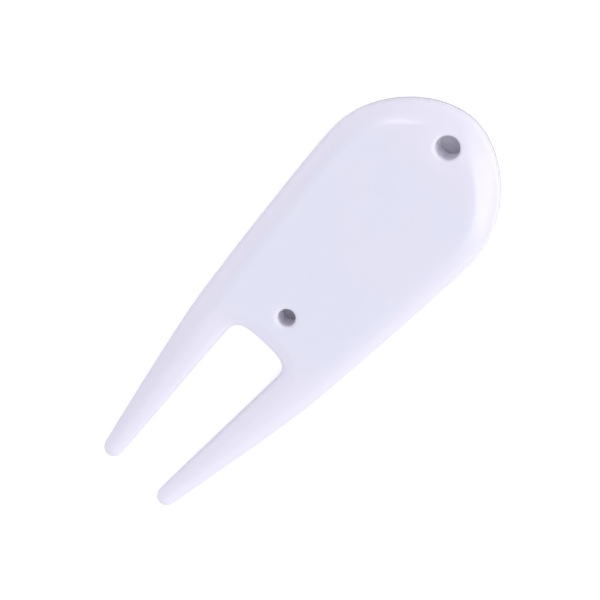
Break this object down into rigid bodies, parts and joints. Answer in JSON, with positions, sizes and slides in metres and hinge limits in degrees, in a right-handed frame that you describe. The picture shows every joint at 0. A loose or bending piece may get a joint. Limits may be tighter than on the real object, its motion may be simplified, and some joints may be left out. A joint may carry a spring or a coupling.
{
  "type": "divot repair tool",
  "caption": "One-piece moulded plastic divot repair tool: a bevelled teardrop head with round through holes, narrowing to a two-pronged fork that lifts turf on a golf green.",
  "frame": {"origin": "bottom centre of the tool's bounding box, where the flat of its back face rests", "axes": "+Y along the tool from the prong tips to the end of the head, +X across it, +Z out of the front face"},
  "size_m": [0.028, 0.076, 0.0046],
  "materials": {
    "white_plastic": "glossy white moulded plastic with a faint cool tint"
  },
  "bodies": {
    "root": {"tool_body": "white_plastic"}
  },
  "joints": []
}
